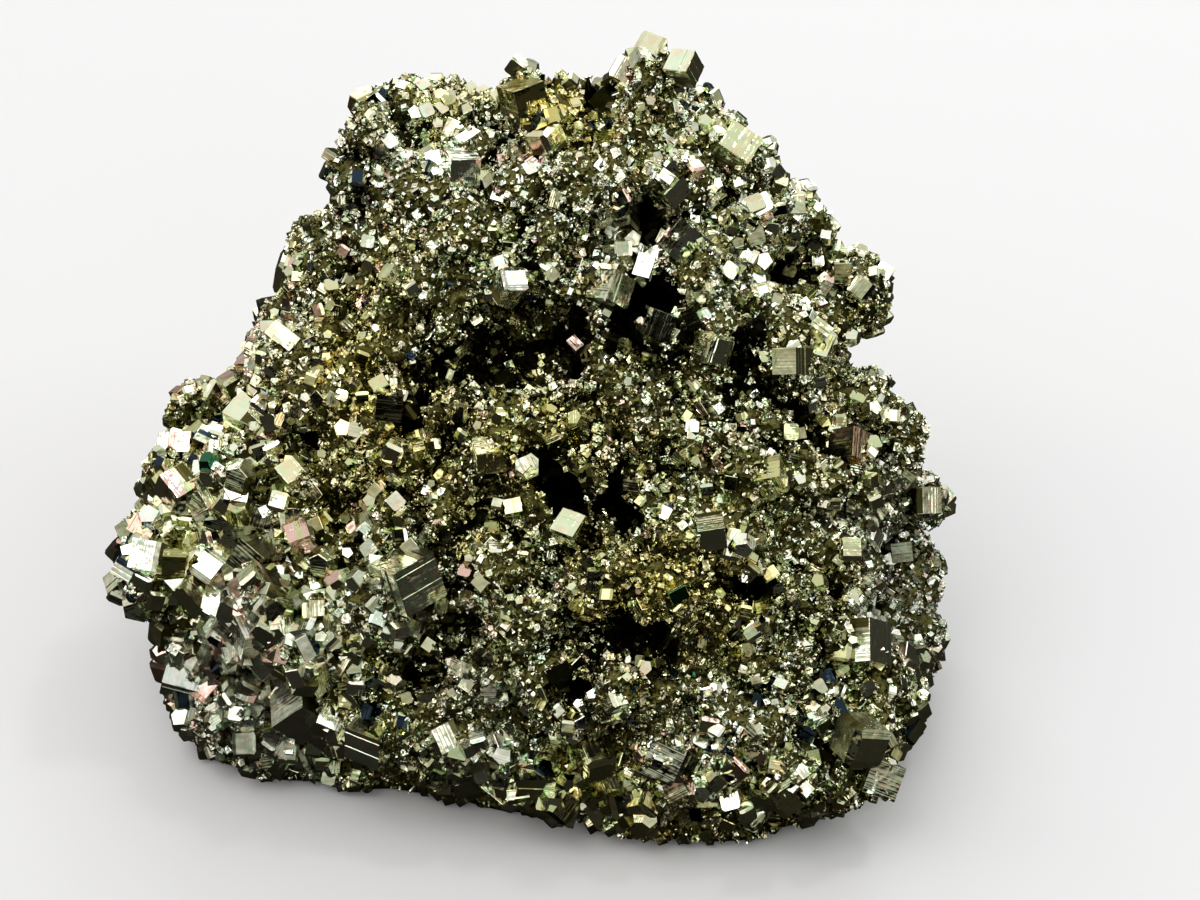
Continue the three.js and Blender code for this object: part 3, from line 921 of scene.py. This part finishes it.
def striation_group():
    """Fine ridges of uneven width that run along U."""
    group, given, result = new_group(
        "striations",
        [("Vector", "NodeSocketVector", None), ("Ridges per mm", "NodeSocketFloat", 3.0)],
        [("Height", "NodeSocketFloat")],
    )
    flat = add(group, "ShaderNodeSeparateXYZ", {0: given.outputs["Vector"]}).outputs
    place = maths(group, "ADD", flat["Y"], maths(group, "MULTIPLY", flat["X"], RIDGE_SLANT))
    sources = {"W": place, "Scale": RIDGE_PATCHES, "Detail": 2.0}
    uneven = add(group, "ShaderNodeTexNoise", sources, noise_dimensions="1D").outputs["Fac"]
    ridges = maths(group, "MULTIPLY", place, given.outputs["Ridges per mm"])
    shifted = maths(group, "ADD", ridges, maths(group, "MULTIPLY", uneven, RIDGE_WANDERS))
    connect(group, result, {"Height": maths(group, "PINGPONG", shifted, 1.0)})
    return group


def small_facets_group():
    """Turns the surface a little, by a different amount in each small cell."""
    group, given, result = new_group(
        "small facets",
        [
            ("Vector", "NodeSocketVector", None),
            ("Cells per m", "NodeSocketFloat", 2000.0),
            ("Turn", "NodeSocketFloat", 0.3),
        ],
        [("Normal", "NodeSocketVector")],
    )
    sources = {"Vector": given.outputs["Vector"], "Scale": given.outputs["Cells per m"]}
    cells = add(group, "ShaderNodeTexVoronoi", sources).outputs["Color"]
    centred = vector_maths(group, "SUBTRACT", {0: cells, 1: (0.5, 0.5, 0.5)})
    lean = vector_maths(group, "SCALE", {0: centred, "Scale": given.outputs["Turn"]})
    normal = add(group, "ShaderNodeNewGeometry").outputs["Normal"]
    leaning = vector_maths(group, "ADD", {0: normal, 1: lean})
    connect(group, result, {"Normal": vector_maths(group, "NORMALIZE", {0: leaning})})
    return group


GROUPS = {
    "colour": pyrite_colour_group(),
    "striations": striation_group(),
    "small facets": small_facets_group(),
}


def from_group(tree, group, sources):
    """The outputs of one of the groups, placed in a material."""
    node = tree.nodes.new("ShaderNodeGroup")
    node.node_tree = GROUPS[group]
    connect(tree, node, sources)
    return node.outputs


def look(tree, name):
    return add(tree, "ShaderNodeAttribute", attribute_name=name).outputs["Fac"]


def ridged(tree, at, normal, ridges, ridge_height, wave_height):
    """The normal with striations and shallow waves on it. Heights are in mm."""
    flat = add(tree, "ShaderNodeUVMap", uv_map="facets").outputs["UV"]
    height = from_group(tree, "striations", {"Vector": flat, "Ridges per mm": ridges})["Height"]
    ridge = maths(tree, "MULTIPLY", height, ridge_height)
    wave = maths(tree, "MULTIPLY", spots(tree, at, WAVES, 2.0), wave_height)
    raised = {"Height": maths(tree, "ADD", ridge, wave), "Distance": MM, "Normal": normal}
    return add(tree, "ShaderNodeBump", raised).outputs["Normal"]


def pyrite_material(name, facets_per_m, turn, ridges=0.0, ridge_height=0.0, wave_height=0.0):
    """Pyrite with small facets turned by up to that much, and ridges if there are any."""
    material = bpy.data.materials.new(name)
    material.use_nodes = True
    tree = material.node_tree
    shader = tree.nodes["Principled BSDF"]
    shader.inputs["Metallic"].default_value = 1.0
    at = add(tree, "ShaderNodeTexCoord").outputs["Object"]
    looks = {label.capitalize(): look(tree, label) for label in ("tone", "tint", "dark", "hue")}
    colour = from_group(tree, "colour", {"Vector": at, **looks})
    broken = spots(tree, at, DRUSE_PATCHES, 1.0)
    turned = fade(tree, broken, 0.35, 0.65, turn * 0.4, turn)
    facets = {"Vector": at, "Cells per m": facets_per_m, "Turn": turned}
    normal = from_group(tree, "small facets", facets)["Normal"]
    if ridges:
        normal = ridged(tree, at, normal, ridges, ridge_height, wave_height)
    made = {"Base Color": colour["Color"], "Roughness": colour["Roughness"], "Normal": normal}
    connect(tree, shader, made)
    return material


# ---- Floor, camera and light -------------------------------------------------------------

VIEW_ELEVATION = 35  # degrees
VIEW_DISTANCE = 360 * MM
VIEW_TARGET = Vector((7.64, 0.30, 32.0)) * MM
LENS, SENSOR = 90, 36  # the camera's own mm
FLOOR_HALF = 4  # metres
FLOOR_SHEEN = 0.1
FLOOR_COLOUR = (0.82, 0.82, 0.82, 1)
FLOOR_IN_REFLECTIONS = (0.02, 0.018, 0.012, 1)
BACKDROP = 0.6  # what the floor and the camera see of the room
SIDES_LIT, BACK_LIT = 0.25, 0.2  # how much brighter the room is at its sides and its back
ROOM = [  # what the crystals reflect, from the floor up
    (0.0, (0, 0, 0, 1)),
    (0.2, (0.002, 0.002, 0.001, 1)),
    (0.28, (0.31, 0.305, 0.22, 1)),
    (0.5, (0.57, 0.57, 0.49, 1)),
    (0.7, (0.88, 0.88, 0.84, 1)),
    (1.0, (1.25, 1.25, 1.25, 1)),
]
WHITE, PINKISH = (1, 1, 1), (1, 0.8, 0.72)
# Each softbox: name, place, width and height, brightness and colour.
SOFTBOXES = [
    ("key", (-0.25, -0.2, 0.55), (0.45, 0.4), 1.65, WHITE),
    ("right", (0.5, -0.1, 0.38), (0.3, 0.35), 1.7, WHITE),
    ("back", (0.05, 0.5, 0.4), (0.7, 0.3), 2.0, WHITE),
    ("front", (0.2, -0.6, 0.3), (0.1, 0.3), 2.2, WHITE),
    ("left", (-0.55, -0.05, 0.25), (0.15, 0.4), 1.7, PINKISH),
    ("spark", (0.25, 0.1, 0.6), (0.06, 0.06), 24.0, WHITE),
]


def pale_floor():
    mesh = bpy.data.meshes.new("floor")
    bm = bmesh.new()
    bmesh.ops.create_grid(bm, x_segments=1, y_segments=1, size=FLOOR_HALF)
    bm.to_mesh(mesh)
    bm.free()
    floor = new_object("floor", mesh)
    material = bpy.data.materials.new("pale floor")
    material.use_nodes = True
    tree = material.node_tree
    shader = tree.nodes["Principled BSDF"]
    shader.inputs["Roughness"].default_value = 0.9
    shader.inputs["Specular IOR Level"].default_value = FLOOR_SHEEN
    reflected = add(tree, "ShaderNodeLightPath").outputs["Is Glossy Ray"]
    colour = mixed(tree, reflected, FLOOR_COLOUR, FLOOR_IN_REFLECTIONS)
    connect(tree, shader, {"Base Color": colour})
    mesh.materials.append(material)


def camera():
    lens = bpy.data.cameras.new("camera")
    lens.lens = LENS
    lens.sensor_width = SENSOR
    lens.clip_start = 10 * MM
    view = new_object("camera", lens)
    back = direction(-90, VIEW_ELEVATION)
    view.location = VIEW_TARGET + back * VIEW_DISTANCE
    view.rotation_euler = back.to_track_quat("Z", "Y").to_euler()
    bpy.context.scene.camera = view


def softbox(name, place, size, brightness, colour):
    light = bpy.data.lights.new(name, "AREA")
    light.color = colour
    light.shape = "RECTANGLE"
    light.size, light.size_y = size
    light.energy = brightness * math.pi * size[0] * size[1]
    lamp = new_object(name, light)
    lamp.location = place
    lamp.rotation_euler = (Vector(place) - VIEW_TARGET).to_track_quat("Z", "Y").to_euler()


def studio():
    """Softboxes in a room that is plain to the floor and camera, and contrasty in reflections."""
    for box in SOFTBOXES:
        softbox(*box)
    world = bpy.data.worlds.new("studio")
    bpy.context.scene.world = world
    world.use_nodes = True
    tree = world.node_tree
    backdrop = tree.nodes["Background"]
    connect(tree, backdrop, {"Color": (1, 1, 1, 1), "Strength": BACKDROP})
    seen_from = add(tree, "ShaderNodeTexCoord").outputs["Generated"]
    way = add(tree, "ShaderNodeSeparateXYZ", {0: seen_from}).outputs
    sideways = maths(tree, "MULTIPLY", maths(tree, "ABSOLUTE", way["X"], 0.0), SIDES_LIT)
    behind = maths(tree, "MULTIPLY", way["Y"], BACK_LIT)
    lit = maths(tree, "ADD", way["Z"], maths(tree, "ADD", sideways, behind))
    room = add(tree, "ShaderNodeBackground", {"Color": ramp(tree, lit, ROOM)})
    reflected = add(tree, "ShaderNodeLightPath").outputs["Is Glossy Ray"]
    ends = {0: reflected, 1: backdrop.outputs[0], 2: room.outputs[0]}
    both = add(tree, "ShaderNodeMixShader", ends)
    connect(tree, tree.nodes["World Output"], {"Surface": both.outputs[0]})
    bpy.context.scene.view_settings.view_transform = "Standard"


# ---- The specimen ------------------------------------------------------------------------

DRUSE_PIECES = 4
GROUND_SHADE, GROUND_LIT, UNDERSIDE_LIT = 1.0, 0.35, 0.4  # painted shade on the skin between and under the crystals, and how much of it lifts where it is open and on the underside
GROUND_OPENS = (0.4, 1.0)  # opening between which its painted shade lifts
UNDERSIDE = (-0.3, -0.8)  # how far the skin faces down
GROUND_TONE = 0.2
GROUND = {"facets_per_m": 3000, "turn": 0.8}
SPARKLING = {"facets_per_m": 4400, "turn": 0.85}
STRIATED = {
    "facets_per_m": 500, "turn": 0.03, "ridges": 4.0, "ridge_height": 0.009, "wave_height": 0.2
}
BRIGHT = {
    "facets_per_m": 900, "turn": 0.05, "ridges": 5.0, "ridge_height": 0.004, "wave_height": 0.18
}


def add_piece(name, mesh, material):
    piece = new_object(name, mesh)
    mesh.materials.append(material)
    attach(piece, BODY)
    return piece


def pyrite_mass(solid, solid_tree):
    """The mass's skin, with the looks that its own material and the crystals read."""
    skin = even_skin(solid)
    sunk = shape_skin(skin, sunk_spots(solid_tree))
    skin.name = "mass"
    points, normals = vertex_arrays(skin)
    tree = BVHTree.FromPolygons(points.tolist(), [p.vertices[:] for p in skin.polygons])
    # painted shade: the opening falls where the looks out are blocked and where a cleft or cavity
    # sinks the skin
    opening = openness(tree, points, normals) - DEEP_SHADE * smoothstep(*DEEP, sunk)
    # painted shade of the skin: full between the crystals, less where it is open and where it faces
    # down
    lit = GROUND_LIT + UNDERSIDE_LIT * smoothstep(*UNDERSIDE, normals[:, 2])
    looks = {
        "opening": opening,
        "dark": GROUND_SHADE - lit * smoothstep(*GROUND_OPENS, opening),
        "tone": np.full(len(points), GROUND_TONE),
        "hue": hues_for(points),
    }
    for label, values in looks.items():
        skin.attributes.new(label, "FLOAT", "POINT").data.foreach_set("value", values)
    return skin


def in_quarters(crystals):
    """The crystals in parts of equal number, by their bearing from the heart."""
    away = crystals.places - np.array(HEART)
    order = np.argsort(np.arctan2(away[:, 1], away[:, 0]), kind="stable")
    return [crystals.take(part) for part in np.array_split(order, DRUSE_PIECES)]


def both_blocked(first, second):
    return lambda places, share: first(places, share) | second(places, share)


def druse_forms():
    """The forms of the largest, coarse, medium and fine crystals."""
    pyritohedron, between = Form(pyritohedron_form()), Form(between_form())
    chips = [Form(chip_form(7, seed)) for seed in (61, 62, 63, 64)]
    return (
        [Form(stepped_form(5, 0.018, 3)), Form(pyritohedron_form(0.02)), between],
        [Form(stepped_form(3, 0.025, 4)), pyritohedron, between],
        [Form(cube_form(0.04)), pyritohedron, between, Form(cornered_form(0.13))],
        [Form(cube_form()), Form(cornered_form(0.42)), *chips],
    )


def specimen():
    solid = solid_copy()
    solid_tree = BVHTree.FromBMesh(solid)
    skin = pyrite_mass(solid, solid_tree)
    solid.free()
    mass = add_piece("mass", skin, pyrite_material("fine pyrite ground", **GROUND))
    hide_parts(NODE)

    largest = largest_crystals(solid_tree)
    by_largest = occupied_by(largest)
    coarse = larger_crystals(COARSE, skin, by_largest)
    by_big = both_blocked(by_largest, occupied_by(coarse))
    medium = larger_crystals(MEDIUM, skin, by_big)
    fine = fine_druse(skin, both_blocked(by_big, occupied_by(medium)))

    striated = pyrite_material("striated pyrite", **STRIATED)
    bright = pyrite_material("bright pyrite", **BRIGHT)
    sparkling = pyrite_material("sparkling druse", **SPARKLING)
    largest_forms, coarse_forms, medium_forms, fine_forms = druse_forms()
    pieces = [
        ("largest_crystals", largest_forms, largest, striated),
        ("coarse_crystals", coarse_forms, coarse, striated),
        ("medium_crystals", medium_forms, medium, bright),
    ]
    for i, part in enumerate(in_quarters(fine)):
        pieces.append((f"fine_druse_{i + 1}", fine_forms, part, sparkling))
    for name, forms, crystals, material in pieces:
        add_piece(name, joined_mesh(name, forms, crystals), material)


pale_floor()
camera()
studio()
specimen()
